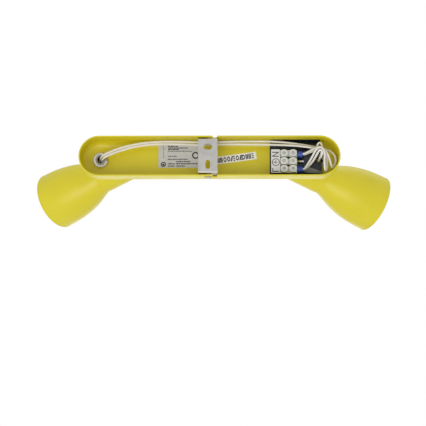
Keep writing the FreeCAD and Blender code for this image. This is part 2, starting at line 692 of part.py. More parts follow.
def marking_plate():
    """A white plate beside the block that marks its poles, on two ribs down to the sheet."""
    right_x = BLOCK_X - BLOCK_LENGTH / 2 - 0.1
    left_x = right_x - PLATE_WIDTH
    low_z, high_z = BLOCK_Z - PLATE_HEIGHT / 2, BLOCK_Z + PLATE_HEIGHT / 2
    plate = box((left_x, PLATE_TOP_Y, low_z), (right_x, PLATE_TOP_Y + 1.2, high_z))
    rim = [e for e in plate.Edges if e.BoundBox.YLength > 1]
    plate = plate.makeFillet(0.8, rim)
    ribs = [box((x, PLATE_TOP_Y + 1, low_z + 3), (x + 1.2, BLOCK_FOOT_Y, high_z - 3))
            for x in (left_x + 0.8, right_x - 2.0)]
    return fused([plate] + ribs)


def tray_lining(thickness, low, high):
    """A thin piece that follows the tray's inner faces inside a box."""
    outer = stadium(BAR_WALL, FLOOR_Y, BAR_EDGE_R - BAR_WALL)
    inner = stadium(BAR_WALL + thickness, FLOOR_Y - thickness, BAR_EDGE_R - BAR_WALL - thickness)
    return outer.cut(inner).common(box(low, high))


def insulating_sheet():
    """A black sheet under the block, turned up at both long walls."""
    low_x, high_x = SHEET_X
    sheet = tray_lining(SHEET_T, (low_x, SHEET_TOP_Y, -BAR_HEIGHT), (high_x, BAR_DEPTH, BAR_HEIGHT))
    for x, z in BLOCK_PINS:
        sheet = sheet.cut(cylinder(BLOCK_PIN_R, V(x, 0, z), V(x, 30, z)))
    x, z = EARTH_STUD
    sheet = sheet.cut(cylinder(3.6, V(x, 15, z), V(x, 30, z)))
    sheet = sheet.cut(box((x - 5.4, 15, z - 1.75), (x, 30, z + 1.75)))
    return sheet.cut(cylinder(LOCK_WASHER_R + 0.5, stem_point(1, 15), stem_point(1, 30)))


def sheet_cover():
    """A folded black sheet that bridges the right nut, open at both ends."""
    sections = []
    for x, fold_low_z, foot in COVER_SECTIONS:
        outer = [(COVER_FOOT_Y, COVER_TOP_Z + COVER_SLOPE), (COVER_Y, COVER_TOP_Z),
                 (COVER_Y, fold_low_z), foot]
        inner = [(y + SHEET_T, z) for y, z in reversed(outer)]
        points = [V(x, y, z) for y, z in outer + inner]
        sections.append(Part.makePolygon(points + points[:1]))
    cover = Part.makeLoft(sections, True, True)
    return cover.cut(cylinder(COVER_HOLE_R, stem_point(1, COVER_Y - 1), stem_point(1, COVER_Y + 2)))


def earth_stud():
    """The threaded stud welded to the tray's floor."""
    x, z = EARTH_STUD
    return cylinder(EARTH_STUD_R, V(x, FLOOR_Y - EARTH_STUD_LENGTH, z), V(x, FLOOR_Y, z))


def earth_nut():
    """The small nut that clamps the earth tag on its stud."""
    x, z = EARTH_STUD
    nut = hexagon(V(x, FLOOR_Y - EARTH_TAG_T - 2.4, z), EY, 5.5, 2.4)
    return nut.cut(cylinder(EARTH_STUD_R, V(x, 15, z), V(x, 30, z)))


def earth_tag():
    """A ring tag on the earth stud, with a crimped barrel towards the block."""
    x, z = EARTH_STUD
    ring = cylinder(3.4, V(x, FLOOR_Y - EARTH_TAG_T, z), V(x, FLOOR_Y, z))
    tongue = box((x - 5.2, FLOOR_Y - EARTH_TAG_T, z - 1.6), (x, FLOOR_Y, z + 1.6))
    part = ring.fuse(tongue).removeSplitter()
    part = part.cut(cylinder(EARTH_STUD_R, V(x, 15, z), V(x, 30, z)))
    barrel = tube(1.9, EARTH_LEAD_R, V(x - 3.4, EARTH_BARREL_Y, z), V(x - 7.2, EARTH_BARREL_Y, z))
    return fused([part, barrel])


def earth_lead():
    """The short earth lead from the middle pole to the ring tag."""
    x, z = EARTH_STUD
    return lead([V(BLOCK_X + 2.0, ENTRY_Y, BLOCK_Z), V(BLOCK_X + 8.4, ENTRY_Y, BLOCK_Z),
                 V(x - 8.4, EARTH_BARREL_Y, z), V(x - 3.4, EARTH_BARREL_Y, z)], EARTH_LEAD_R)


def end_collars():
    """Blue twin collars on the crimped ends of the live and neutral leads."""
    collars = []
    start_x = BLOCK_X + BLOCK_LENGTH / 2 + 0.2
    for z in (POLES[0], POLES[2]):
        collar = cylinder(COLLAR_R, V(start_x, ENTRY_Y, z), V(start_x + COLLAR_RUN, ENTRY_Y, z))
        ends = [e for e in collar.Edges if e.BoundBox.XLength < 0.01]
        collar = collar.makeFillet(0.5, ends)
        for y in (ENTRY_Y - LEAD_PITCH / 2, ENTRY_Y + LEAD_PITCH / 2):
            collar = collar.cut(cylinder(LEAD_R, V(start_x - 1, y, z), V(start_x + COLLAR_RUN + 1, y, z)))
        collars.append(collar)
    return collars


def end_ferrules():
    """The tinned crimps under the collars, inside the clamping sleeves."""
    entry_x = BLOCK_X + BLOCK_LENGTH / 2
    return [cylinder(1.5, V(entry_x - 7.0, ENTRY_Y, z), V(entry_x, ENTRY_Y, z))
            for z in (POLES[0], POLES[2])]


# ---- Labels ----
def rating_label():
    """A large label that follows the floor and runs up its rounded edge."""
    low_x, high_x, low_z, high_z = RATING_LABEL
    return tray_lining(LABEL_T, (low_x, BAR_DEPTH / 2, low_z), (high_x, BAR_DEPTH, high_z))


def batch_label():
    """A narrow label stuck on at a slant."""
    width, height = BATCH_LABEL_SIZE
    plate = box((-width / 2, 0, -height / 2), (width / 2, LABEL_T, height / 2))
    plate.rotate(V(0, 0, 0), EY, -BATCH_LABEL_TURN)
    plate.translate(V(BATCH_LABEL_X, FLOOR_Y - LABEL_T, BATCH_LABEL_Z))
    return plate


# ---- Leads ----
# Routes are points that the leads' centre lines turn at. Depths below the rim
# are stacked so that the strands cross without touching.
L_ENTRY = V(BLOCK_X + BLOCK_LENGTH / 2, ENTRY_Y, POLES[0])
N_ENTRY = V(BLOCK_X + BLOCK_LENGTH / 2, ENTRY_Y, POLES[2])
HALF_PITCH = V(0, LEAD_PITCH / 2, 0)
EXIT_RUN = 7.6


def lead_end(place):
    """The last two points of a lead: outside its collar, and at the block."""
    return [place + EX * EXIT_RUN, place + EX * 0.2]


def left_neutral_lead():
    """Out of the left tube, along the top wall, round the right end and back to N."""
    x = -STEM_X - 0.8
    route = [V(x, LEAD_IN_TUBE_Y, 0.9), V(x, 12.5, 0.9), V(-101, 11, 6.2), V(-90, 11.5, 10.5),
             V(-72, 12, 15.2), V(-52, 12.5, 17.3), V(-28, 14, 17.5), V(-8, 15, 17), V(14, 14.5, 17.4),
             V(40, 13.5, 17.6), V(66, 14, 17.5), V(85, 15.5, 15.8), V(102, 16.4, 13.2),
             V(114, 16.4, 10.8), V(123, 15.5, 7.6), V(127.9, 14.5, 0.5), V(126, 14, -7),
             V(123.4, 11.5, -10.8), V(122, 8.4, -7.5), V(120.2, 7.6, -1), V(117.6, 7.6, 5.4),
             V(112.8, 7.6, 9.8), V(107.5, 8.6, 9.8), V(102.6, 11.6, 7.8), V(98, 14.8, 6.1)]
    return lead(route + lead_end(N_ENTRY - HALF_PITCH))


def left_live_lead():
    """Beside the neutral, then down and back over itself to L."""
    x = -STEM_X + 0.8
    route = [V(x, LEAD_IN_TUBE_Y, -0.9), V(x, 13.5, -0.9), V(-100.5, 11.9, 3.7), V(-89.5, 12.3, 8),
             V(-72, 12.5, 12.8), V(-52, 13.2, 15), V(-28, 15, 15), V(-8, 16.6, 14.4), V(14, 15, 14.9),
             V(40, 13.5, 14.4), V(66, 13.5, 14), V(88, 13.9, 13.1), V(103, 14.2, 11.2),
             V(115.5, 13.9, 8), V(118.9, 13.2, 1), V(118.3, 12.8, -8), V(117.4, 10.6, -14),
             V(115.6, 7.2, -13.2), V(115.2, 5.4, -5), V(115.8, 5, 3), V(113.8, 5, 8.6),
             V(109.6, 5, 10), V(106.4, 6, 6.4), V(103.4, 8.8, 0.8), V(100.2, 12.2, -4.3),
             V(97.6, 14.9, -8)]
    return lead(route + lead_end(L_ENTRY - HALF_PITCH))


def right_neutral_lead():
    """Out of the right tube, up to a tight fold under the top wall, and down to N."""
    x = STEM_X + 1.1
    route = [V(x, LEAD_IN_TUBE_Y, 1.5), V(x, 10.8, 1.5), V(113.2, 10.4, 8), V(113.4, 10.4, 12.6),
             V(112, 10.5, 15.4), V(109.6, 10.6, 15), V(108.6, 11.1, 11.8), V(107, 11.3, 9.6),
             V(104.4, 13.9, 7.2), V(101.2, 15.8, 6.6), V(98.4, 17.6, 5.7)]
    return lead(route + lead_end(N_ENTRY + HALF_PITCH))


def right_live_lead():
    """Out of the right tube, over in an arch, and down to L."""
    x = STEM_X - 0.4
    route = [V(x, LEAD_IN_TUBE_Y, -1.6), V(x, 10, -1.6), V(112.4, 5.6, 1), V(113.4, 3.8, 4.8),
             V(110.6, 3.8, 7), V(108, 5, 2.8), V(104.9, 9.4, -2.6), V(101.4, 14.7, -6.4),
             V(98.8, 17.4, -8.2)]
    return lead(route + lead_end(L_ENTRY + HALF_PITCH))


def holder_leads(name):
    """Two short leads from the grommet to the back of the lampholder."""
    axis, hinge_axis, outward, hinge, foot = head_frame(name)
    leads = []
    for sign in (-1, 1):
        corner = foot + axis * GROMMET_S + hinge_axis * (sign * 1.05) - outward * 10.3
        end = corner + axis * (HOLDER_BACK - GROMMET_S)
        leads.append(lead([corner - outward * 7.6, corner, end], 1.0))
    return leads


# ---- Write every node ----
def main():
    os.makedirs("parts", exist_ok=True)
    save("bar_housing", bar_housing())
    save("wall_bracket", wall_bracket())
    save("bracket_screw", bracket_screw())
    save("bracket_pin", bracket_pin())
    save("terminal_body", terminal_body())
    save("terminal_sleeves", terminal_sleeves())
    save("terminal_screws", terminal_screws())
    save("block_pins", block_pins())
    save("marking_plate", marking_plate())
    save("insulating_sheet", insulating_sheet())
    save("sheet_cover", sheet_cover())
    save("earth_tag", earth_tag())
    save("earth_stud", earth_stud())
    save("earth_nut", earth_nut())
    save("earth_lead", earth_lead())
    save("end_collars", end_collars())
    save("end_ferrules", end_ferrules())
    save("rating_label", rating_label())
    save("batch_label", batch_label())
    save("left_neutral_lead", left_neutral_lead())
    save("left_live_lead", left_live_lead())
    save("right_neutral_lead", right_neutral_lead())
    save("right_live_lead", right_live_lead())
    for name, head in HEADS.items():
        side = head["side"]
        save(name + "_swivel_tube", swivel_tube(side))
        save(name + "_swivel_nut", swivel_nut(side))
        save(name + "_lock_washer", lock_washer(side))
        save(name + "_stem", stem(name))
        save(name + "_hinge_screw", hinge_screw(name))
        save(name + "_hinge_nut", hinge_nut(name))
        save(name + "_friction_washers", friction_washers(name))
        save(name + "_lug", lug(name))
        save(name + "_cup", cup(name))
        save(name + "_shade", shade(name))
        save(name + "_lampholder", lampholder(name))
        save(name + "_screw_shell", screw_shell(name))
        save(name + "_centre_contact", centre_contact(name))
        save(name + "_holder_bracket", holder_bracket(name))
        save(name + "_holder_screws", holder_screws(name))
        save(name + "_grommet", grommet(name))
        save(name + "_holder_leads", holder_leads(name))


main()
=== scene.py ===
import json
import math

import bmesh
import bpy
from mathutils import Euler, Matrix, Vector

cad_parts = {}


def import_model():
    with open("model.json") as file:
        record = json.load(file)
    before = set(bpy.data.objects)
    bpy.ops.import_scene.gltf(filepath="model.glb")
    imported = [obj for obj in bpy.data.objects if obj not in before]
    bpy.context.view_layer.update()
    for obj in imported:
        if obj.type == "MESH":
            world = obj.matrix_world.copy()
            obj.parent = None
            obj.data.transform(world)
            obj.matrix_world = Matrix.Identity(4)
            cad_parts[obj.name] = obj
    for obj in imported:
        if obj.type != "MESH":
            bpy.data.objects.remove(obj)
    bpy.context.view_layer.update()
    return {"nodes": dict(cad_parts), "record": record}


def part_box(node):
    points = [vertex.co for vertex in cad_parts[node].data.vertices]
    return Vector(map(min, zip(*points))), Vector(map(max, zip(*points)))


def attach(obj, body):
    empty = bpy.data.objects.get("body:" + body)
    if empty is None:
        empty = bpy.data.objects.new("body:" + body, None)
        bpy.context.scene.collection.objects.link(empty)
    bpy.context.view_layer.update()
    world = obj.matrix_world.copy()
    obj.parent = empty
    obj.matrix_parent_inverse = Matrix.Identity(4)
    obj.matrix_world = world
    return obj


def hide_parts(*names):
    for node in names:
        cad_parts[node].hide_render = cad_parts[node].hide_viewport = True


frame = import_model()
NODES = frame["nodes"]
RECORD = frame["record"]
MM = 0.001


# ---- Camera ----
# Behind and a little below the bar, looking up at its open, wired side.
CAMERA_AT = (0.01323, -1.36765, -0.29716)
CAMERA_PITCH = math.radians(9.908)
CAMERA_YAW = math.radians(0.404)
FOCAL_PIXELS = 1400.0
IMAGE_PIXELS = 426.0
SENSOR_MM = 36.0

camera_data = bpy.data.cameras.new("camera")
camera_data.sensor_width = SENSOR_MM
camera_data.lens = SENSOR_MM * FOCAL_PIXELS / IMAGE_PIXELS
camera_data.clip_start = 0.05
camera = bpy.data.objects.new("camera", camera_data)
camera.location = CAMERA_AT
camera.rotation_euler = Euler((math.pi / 2 + CAMERA_PITCH, 0, CAMERA_YAW))
bpy.context.scene.collection.objects.link(camera)
bpy.context.scene.camera = camera


# ---- Pieces ----
def new_piece(name, bm, body, slot, smooth=True, material=None):
    """Turn a bmesh into a piece that rides on a body, in the slot's material or its own."""
    mesh = bpy.data.meshes.new(name)
    bmesh.ops.recalc_face_normals(bm, faces=bm.faces)
    bm.to_mesh(mesh)
    bm.free()
    for polygon in mesh.polygons:
        polygon.use_smooth = smooth
    piece = bpy.data.objects.new(name, mesh)
    bpy.context.scene.collection.objects.link(piece)
    mesh.materials.append(material or MATERIALS[slot])
    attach(piece, body)


# ---- Materials ----
def principled(name, base, roughness, metallic=0.0, **sockets):
    """A Principled material. Uniform values are set on the shader's own sockets."""
    mat = bpy.data.materials.new(name)
    mat.use_nodes = True
    shader = mat.node_tree.nodes["Principled BSDF"]
    shader.inputs["Base Color"].default_value = (*base, 1)
    shader.inputs["Roughness"].default_value = roughness
    shader.inputs["Metallic"].default_value = metallic
    for key, value in sockets.items():
        shader.inputs[key.replace("_", " ")].default_value = value
    return mat


def noise(mat, scale, detail=3.0, stretch=(1, 1, 1)):
    """Noise in the piece's own metres. stretch is how much finer it is along each axis."""
    tree = mat.node_tree
    where = tree.nodes.new("ShaderNodeTexCoord")
    mapping = tree.nodes.new("ShaderNodeMapping")
    mapping.inputs["Scale"].default_value = stretch
    texture = tree.nodes.new("ShaderNodeTexNoise")
    texture.inputs["Scale"].default_value = scale
    texture.inputs["Detail"].default_value = detail
    tree.links.new(where.outputs["Object"], mapping.inputs["Vector"])
    tree.links.new(mapping.outputs["Vector"], texture.inputs["Vector"])
    return texture.outputs["Fac"]


def spread(mat, value, low, high, start=0.3, end=0.7):
    """Map a 0 to 1 value onto a range."""
    tree = mat.node_tree
    node = tree.nodes.new("ShaderNodeMapRange")
    node.inputs["From Min"].default_value = start
    node.inputs["From Max"].default_value = end
    node.inputs["To Min"].default_value = low
    node.inputs["To Max"].default_value = high
    tree.links.new(value, node.inputs["Value"])
    return node.outputs["Result"]


def two_tone(mat, value, first, second, start=0.3, end=0.7):
    """Base colour that drifts between two shades."""
    tree = mat.node_tree
    ramp = tree.nodes.new("ShaderNodeValToRGB")
    ramp.color_ramp.elements[0].position = start
    ramp.color_ramp.elements[0].color = (*first, 1)
    ramp.color_ramp.elements[1].position = end
    ramp.color_ramp.elements[1].color = (*second, 1)
    tree.links.new(value, ramp.inputs["Fac"])
    tree.links.new(ramp.outputs["Color"], tree.nodes["Principled BSDF"].inputs["Base Color"])


def rough(mat, value, low, high):
    """Roughness that follows a value."""
    result = spread(mat, value, low, high)
    mat.node_tree.links.new(result, mat.node_tree.nodes["Principled BSDF"].inputs["Roughness"])


def bumps(mat, layers):
    """Stack bump layers, each a (value, height in metres) pair."""
    tree = mat.node_tree
    last = None
    for value, height in layers:
        node = tree.nodes.new("ShaderNodeBump")
        node.inputs["Distance"].default_value = height
        tree.links.new(value, node.inputs["Height"])
        if last is not None:
            tree.links.new(last, node.inputs["Normal"])
        last = node.outputs["Normal"]
    tree.links.new(last, tree.nodes["Principled BSDF"].inputs["Normal"])


def powder_coat():
    """Satin yellow-green powder coat: orange peel, faint shade drift, polished patches."""
    mat = principled("yellow_paint", (0.70, 0.60, 0.014), 0.42)
    two_tone(mat, noise(mat, 26), (0.690, 0.588, 0.012), (0.730, 0.628, 0.018))
    rough(mat, noise(mat, 60, 5), 0.36, 0.46)
    bumps(mat, [(noise(mat, 1100, 2), 0.00002), (noise(mat, 320, 1), 0.00002)])
    return mat


def plated(name, first, second, low, high, grain, stretch=(1, 1, 1), height=0.000006):
    """Plated metal with a slightly cloudy finish and drawing marks."""
    mat = principled(name, first, high, metallic=1.0)
    two_tone(mat, noise(mat, 120, 4), first, second)
    rough(mat, noise(mat, grain, 4, stretch), low, high)
    bumps(mat, [(noise(mat, grain, 3, stretch), height)])
    return mat


def moulded(name, first, second, low, high, grain=900, height=0.000008, **sockets):
    """Moulded plastic or rubber with fine texture."""
    mat = principled(name, first, high, **sockets)
    two_tone(mat, noise(mat, 90, 3), first, second)
    rough(mat, noise(mat, 240, 3), low, high)
    bumps(mat, [(noise(mat, grain, 2), height)])
    return mat


def sheet_black():
    """Glossy black insulating sheet with shallow waves from being pushed into the tray."""
    mat = principled("black_sheet", (0.010, 0.012, 0.014), 0.3)
    two_tone(mat, noise(mat, 150), (0.008, 0.010, 0.012), (0.018, 0.021, 0.024))
    rough(mat, noise(mat, 300, 4), 0.22, 0.36)
    bumps(mat, [(noise(mat, 90, 1), 0.0006), (noise(mat, 900, 2), 0.00001)])
    return mat


def earth_wire():
    """Green insulation with a yellow stripe along it."""
    mat = principled("earth_insulation", (0.05, 0.30, 0.06), 0.4)
    tree = mat.node_tree
    where = tree.nodes.new("ShaderNodeTexCoord")
    split = tree.nodes.new("ShaderNodeSeparateXYZ")
    tree.links.new(where.outputs["Object"], split.inputs["Vector"])
    middle = sum((corner.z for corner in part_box("earth_lead")), 0.0) / 2
    side = spread(mat, split.outputs["Z"], 0.0, 1.0, middle - 0.1 * MM, middle + 0.1 * MM)
    two_tone(mat, side, (0.04, 0.26, 0.05), (0.75, 0.62, 0.05), 0.45, 0.55)
    bumps(mat, [(noise(mat, 700, 2), 0.00001)])
    return mat


def paper(name, first, second):
    """Matt label stock with faint fibres."""
    mat = principled(name, first, 0.6)
    two_tone(mat, noise(mat, 400, 5), first, second)
    rough(mat, noise(mat, 300, 3), 0.5, 0.7)
    bumps(mat, [(noise(mat, 1500, 4, (1, 1, 3)), 0.00001)])
    return mat


MATERIALS = {
    "yellow_paint": powder_coat(),
    "zinc_plate": plated("zinc_plate", (0.56, 0.54, 0.50), (0.68, 0.66, 0.61), 0.36, 0.52, 700, (1, 1, 6)),
    "nickel": plated("nickel", (0.64, 0.62, 0.59), (0.76, 0.74, 0.70), 0.03, 0.09, 500),
    "brass": plated("brass", (0.72, 0.52, 0.20), (0.80, 0.60, 0.26), 0.22, 0.36, 800, (6, 1, 1)),
    "terminal_white": moulded("terminal_white", (0.62, 0.62, 0.56), (0.70, 0.70, 0.63), 0.26, 0.4,
                              Subsurface_Weight=0.15, Subsurface_Scale=0.002),
    "plate_white": moulded("plate_white", (0.66, 0.64, 0.63), (0.72, 0.70, 0.69), 0.3, 0.42),
    "black_sheet": sheet_black(),
    "blue_collar": moulded("blue_collar", (0.018, 0.050, 0.34), (0.030, 0.074, 0.45), 0.2, 0.32,
                           Coat_Weight=0.4, Coat_Roughness=0.15),
    "lead_insulation": moulded("lead_insulation", (0.78, 0.75, 0.70), (0.85, 0.82, 0.77), 0.32, 0.46,
                               700, 0.000015, Sheen_Weight=0.1),
    "earth_insulation": earth_wire(),
    "label_paper": paper("label_paper", (0.58, 0.58, 0.59), (0.64, 0.64, 0.64)),
    "holder_white": moulded("holder_white", (0.70, 0.68, 0.62), (0.78, 0.76, 0.70), 0.45, 0.6),
    "grommet_black": moulded("grommet_black", (0.012, 0.012, 0.012), (0.025, 0.024, 0.023), 0.55, 0.75),
    "nylon": moulded("nylon", (0.66, 0.63, 0.54), (0.74, 0.71, 0.62), 0.35, 0.5),
}
# A paler grey for the cover's down-facing flap: a painted reflection, not the sheet's own colour.
FLAP_PAINTED_REFLECTION = moulded("flap_painted_reflection", (0.17, 0.19, 0.185), (0.30, 0.33, 0.33), 0.2, 0.3)
WHITE_PAPER = paper("white_paper", (0.89, 0.88, 0.86), (0.94, 0.93, 0.91))
INK = moulded("label_ink", (0.010, 0.010, 0.012), (0.022, 0.022, 0.026), 0.5, 0.7)

for part in RECORD["subparts"]:
    cad_object = NODES[part["node"]]
    cad_object.data.materials.clear()
    cad_object.data.materials.append(MATERIALS[part["material_slot"]])
NODES["batch_label"].data.materials[0] = WHITE_PAPER

# Painted reflection: the cover's faces that turn down and towards the front, below its lower crease, get a
# paler grey that stands in for light from below reflecting off the black sheet.
cover_mesh = NODES["sheet_cover"].data
cover_mesh.materials.append(FLAP_PAINTED_REFLECTION)
for polygon in cover_mesh.polygons:
    if polygon.normal.y < -0.5 and polygon.normal.z < -0.1:
        polygon.material_index = 1


# ---- Leads ----
# Smooth insulated leads along the routes of their tubes. Millimetres.
STEM_X = 110.5
N_ENTRY = Vector((88.1, 16.9, 4.8))
L_ENTRY = Vector((88.1, 16.9, -11.2))
HALF_PITCH = Vector((0, 1.15, 0))
EXIT_RUN = Vector((7.6, 0, 0))
LEAD_R = 1.1

LEFT_NEUTRAL = [
    (-111.3, 38, 0.9), (-111.3, 12.5, 0.9), (-101, 11, 6.2), (-90, 11.5, 10.5), (-72, 12, 15.2),
    (-52, 12.5, 17.3), (-28, 14, 17.5), (-8, 15, 17), (14, 14.5, 17.4), (40, 13.5, 17.6), (66, 14, 17.5),
    (85, 15.5, 15.8), (102, 16.4, 13.2), (114, 16.4, 10.8), (123, 15.5, 7.6), (127.9, 14.5, 0.5),
    (126, 14, -7), (123.4, 11.5, -10.8), (122, 8.4, -7.5), (120.2, 7.6, -1), (117.6, 7.6, 5.4),
    (112.8, 7.6, 9.8), (107.5, 8.6, 9.8), (102.6, 11.6, 7.8), (98, 14.8, 6.1)]
LEFT_LIVE = [
    (-109.7, 38, -0.9), (-109.7, 13.5, -0.9), (-100.5, 11.9, 3.7), (-89.5, 12.3, 8), (-72, 12.5, 12.8),
    (-52, 13.2, 15), (-28, 15, 15), (-8, 16.6, 14.4), (14, 15, 14.9), (40, 13.5, 14.4), (66, 13.5, 14),
    (88, 13.9, 13.1), (103, 14.2, 11.2), (115.5, 13.9, 8), (118.9, 13.2, 1), (118.3, 12.8, -8),
    (117.4, 10.6, -14), (115.6, 7.2, -13.2), (115.2, 5.4, -5), (115.8, 5, 3), (113.8, 5, 8.6),
    (109.6, 5, 10), (106.4, 6, 6.4), (103.4, 8.8, 0.8), (100.2, 12.2, -4.3), (97.6, 14.9, -8)]
RIGHT_NEUTRAL = [
    (111.6, 38, 1.5), (111.6, 10.8, 1.5), (113.2, 10.4, 8), (113.4, 10.4, 12.6), (112, 10.5, 15.4),
    (109.6, 10.6, 15), (108.6, 11.1, 11.8), (107, 11.3, 9.6), (104.4, 13.9, 7.2), (101.2, 15.8, 6.6),
    (98.4, 17.6, 5.7)]
RIGHT_LIVE = [
    (110.1, 38, -1.6), (110.1, 10, -1.6), (112.4, 5.6, 1), (113.4, 3.8, 4.8), (110.6, 3.8, 7),
    (108, 5, 2.8), (104.9, 9.4, -2.6), (101.4, 14.7, -6.4), (98.8, 17.4, -8.2)]
LEADS = [("left_neutral_lead", LEFT_NEUTRAL, N_ENTRY - HALF_PITCH),
         ("left_live_lead", LEFT_LIVE, L_ENTRY - HALF_PITCH),
         ("right_neutral_lead", RIGHT_NEUTRAL, N_ENTRY + HALF_PITCH),
         ("right_live_lead", RIGHT_LIVE, L_ENTRY + HALF_PITCH)]


def lead(name, route, end):
    """One lead as a NURBS curve through the collar into its clamp."""
    points = [Vector(p) for p in route] + [end + EXIT_RUN, end + Vector((0.2, 0, 0))]
    curve = bpy.data.curves.new(name + "_smooth", "CURVE")
    curve.dimensions = "3D"
    spline = curve.splines.new("NURBS")
    spline.points.add(len(points) - 1)
    for slot, point in zip(spline.points, points):
        slot.co = (*(point * MM), 1)
    spline.order_u = 3
    spline.use_endpoint_u = True
    spline.resolution_u = 16
    curve.bevel_depth = LEAD_R * MM
    curve.bevel_resolution = 5
    curve.use_fill_caps = True
    piece = bpy.data.objects.new(name + "_smooth", curve)
    bpy.context.scene.collection.objects.link(piece)
    curve.materials.append(MATERIALS["lead_insulation"])
    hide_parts(name)
    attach(piece, "bar")


for lead_name, lead_route, lead_end in LEADS:
    lead(lead_name, lead_route, lead_end)


# ---- Threads ----
def axes_about(axis):
    """Two directions square to an axis."""
    across = axis.cross(Vector((0, 0, 1))).normalized()
    return across, axis.cross(across)


def thread(name, base, axis, radius, profile, pitch, turns, body, slot):
    """A helical ridge. profile lists (share of the pitch along, metres outwards) round the ridge."""
    across, other = axes_about(axis)
    steps = 40
    bm = bmesh.new()
    rings = []
    count = int(turns * steps) + 1
    for k in range(count):
        turn = 2 * math.pi * k / steps
        out = across * math.cos(turn) + other * math.sin(turn)
        fade = min(1.0, 4 * k / steps, 4 * (count - 1 - k) / steps)
        ring = []
        for along, height in profile:
            place = base + axis * (pitch * (k / steps + along)) + out * (radius + height * fade)
            ring.append(bm.verts.new(place))
        rings.append(ring)
    size = len(profile)
    for before, after in zip(rings, rings[1:]):
        for k in range(size):
            bm.faces.new((before[k], before[(k + 1) % size], after[(k + 1) % size], after[k]))
    bm.faces.new(rings[0])
    bm.faces.new(list(reversed(rings[-1])))
    bmesh.ops.remove_doubles(bm, verts=bm.verts, dist=1e-7)
    new_piece(name, bm, body, slot)


TUBE_THREAD = [(0.0, -0.00005), (0.22, 0.0), (0.44, 0.00022), (0.56, 0.00022), (0.78, 0.0),
               (1.0, -0.00005)]
SOCKET_THREAD = [(0.02, 0.0001), (0.2, -0.00014), (0.36, -0.00042), (0.5, -0.0005), (0.64, -0.00042),
                 (0.8, -0.00014), (0.98, 0.0001)]
TUBE_R = 5.0 * MM
TUBE_PITCH = 1.0 * MM
TUBE_LEAD_IN = 0.5 * MM
TUBE_PLAIN_TURNS = 1.4
SOCKET_PITCH = 2.82 * MM
SOCKET_LEAD_IN = 1.0 * MM
SOCKET_PLAIN = 4.6 * MM
SOCKETS = {m["name"]: m for m in RECORD["mounts"] if m["name"].endswith("_lamp_socket")}

for side, sign in (("left", -1), ("right", 1)):
    tube_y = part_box(side + "_swivel_tube")[0].y
    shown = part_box(side + "_swivel_nut")[0].y - tube_y
    if shown > 2 * TUBE_PITCH:
        start = Vector((sign * STEM_X * MM, tube_y + TUBE_LEAD_IN, 0))
        thread(side + "_tube_thread", start, Vector((0, 1, 0)), TUBE_R, TUBE_THREAD, TUBE_PITCH,
               shown / TUBE_PITCH - TUBE_PLAIN_TURNS, side + "_arm", "nickel")
    socket = SOCKETS[side + "_lamp_socket"]
    axis = Vector(socket["axis"]).normalized()
    bore_r = socket["dims"]["r_mm"] * MM
    length = socket["dims"]["length_mm"] * MM
    foot = Vector(socket["pos_m"]) - axis * (length / 2 - SOCKET_LEAD_IN)
    thread(side + "_socket_thread", foot, axis, bore_r, SOCKET_THREAD, SOCKET_PITCH,
           (length - SOCKET_PLAIN) / SOCKET_PITCH, side + "_head", "nickel")


# ---- Ribs round each lampholder's skirt ----
RIB_COUNT = 36
RIB_INNER_R = 12.4 * MM
RIB_OUTER_R = 12.95 * MM
RIB_SHOULDER_R = RIB_OUTER_R - 0.12 * MM
RIB_HALF = 0.55 * MM
RIB_ENDS = (37.5 * MM, 27.0 * MM)
SOCKET_TO_MOUTH = 2.0


def skirt_ribs(name, mouth, axis, body):
    """Fine grip ribs round the lampholder's wide part, between two depths below its mouth."""
    across, other = axes_about(axis)
    low, high = (mouth - axis * depth for depth in RIB_ENDS)
    half_section = [(1.0, RIB_INNER_R), (0.8, RIB_SHOULDER_R), (0.35, RIB_OUTER_R)]
    section = [(-RIB_HALF * share, r) for share, r in half_section]
    section += [(RIB_HALF * share, r) for share, r in reversed(half_section)]
    bm = bmesh.new()
    for k in range(RIB_COUNT):
        turn = 2 * math.pi * k / RIB_COUNT
        out = across * math.cos(turn) + other * math.sin(turn)
        side_way = axis.cross(out)
        ends = [[bm.verts.new(place + out * r + side_way * w) for w, r in section]
                for place in (low, high)]
        size = len(section)
        for j in range(size):
            bm.faces.new((ends[0][j], ends[0][(j + 1) % size], ends[1][(j + 1) % size], ends[1][j]))
        bm.faces.new(ends[0])
        bm.faces.new(list(reversed(ends[1])))
    new_piece(name, bm, body, "holder_white", smooth=False)


for side in ("left", "right"):
    socket = SOCKETS[side + "_lamp_socket"]
    axis = Vector(socket["axis"]).normalized()
    mouth = Vector(socket["pos_m"]) + axis * (socket["dims"]["length_mm"] / 2 + SOCKET_TO_MOUTH) * MM
    skirt_ribs(side + "_holder_ribs", mouth, axis, side + "_head")


# ---- Printed marks ----
# Outlines are (u, v) in millimetres on the label: u along it and v up it.
INK_T = 0.04


def bar_mark(u0, v0, u1, v1):
    """An upright rectangle between two corners."""
    return [[(u0, v0), (u1, v0), (u1, v1), (u0, v1)]]


def slash_mark(u0, v0, u1, v1, width):
    """A slanted stroke from its lower left corner to its upper right one."""
    return [[(u0, v0), (u0 + width, v0), (u1 + width, v1), (u1, v1)]]


def ring_mark(cu, cv, radius, width, stretch=1.0, count=28):
    """A ring, or an oval that is stretched across."""
    quads = []
    for k in range(count):
        a, b = (2 * math.pi * j / count for j in (k, k + 1))
        outline = [(radius, a), (radius, b), (radius - width, b), (radius - width, a)]
        quads.append([(cu + r * stretch * math.cos(t), cv + r * math.sin(t)) for r, t in outline])
    return quads


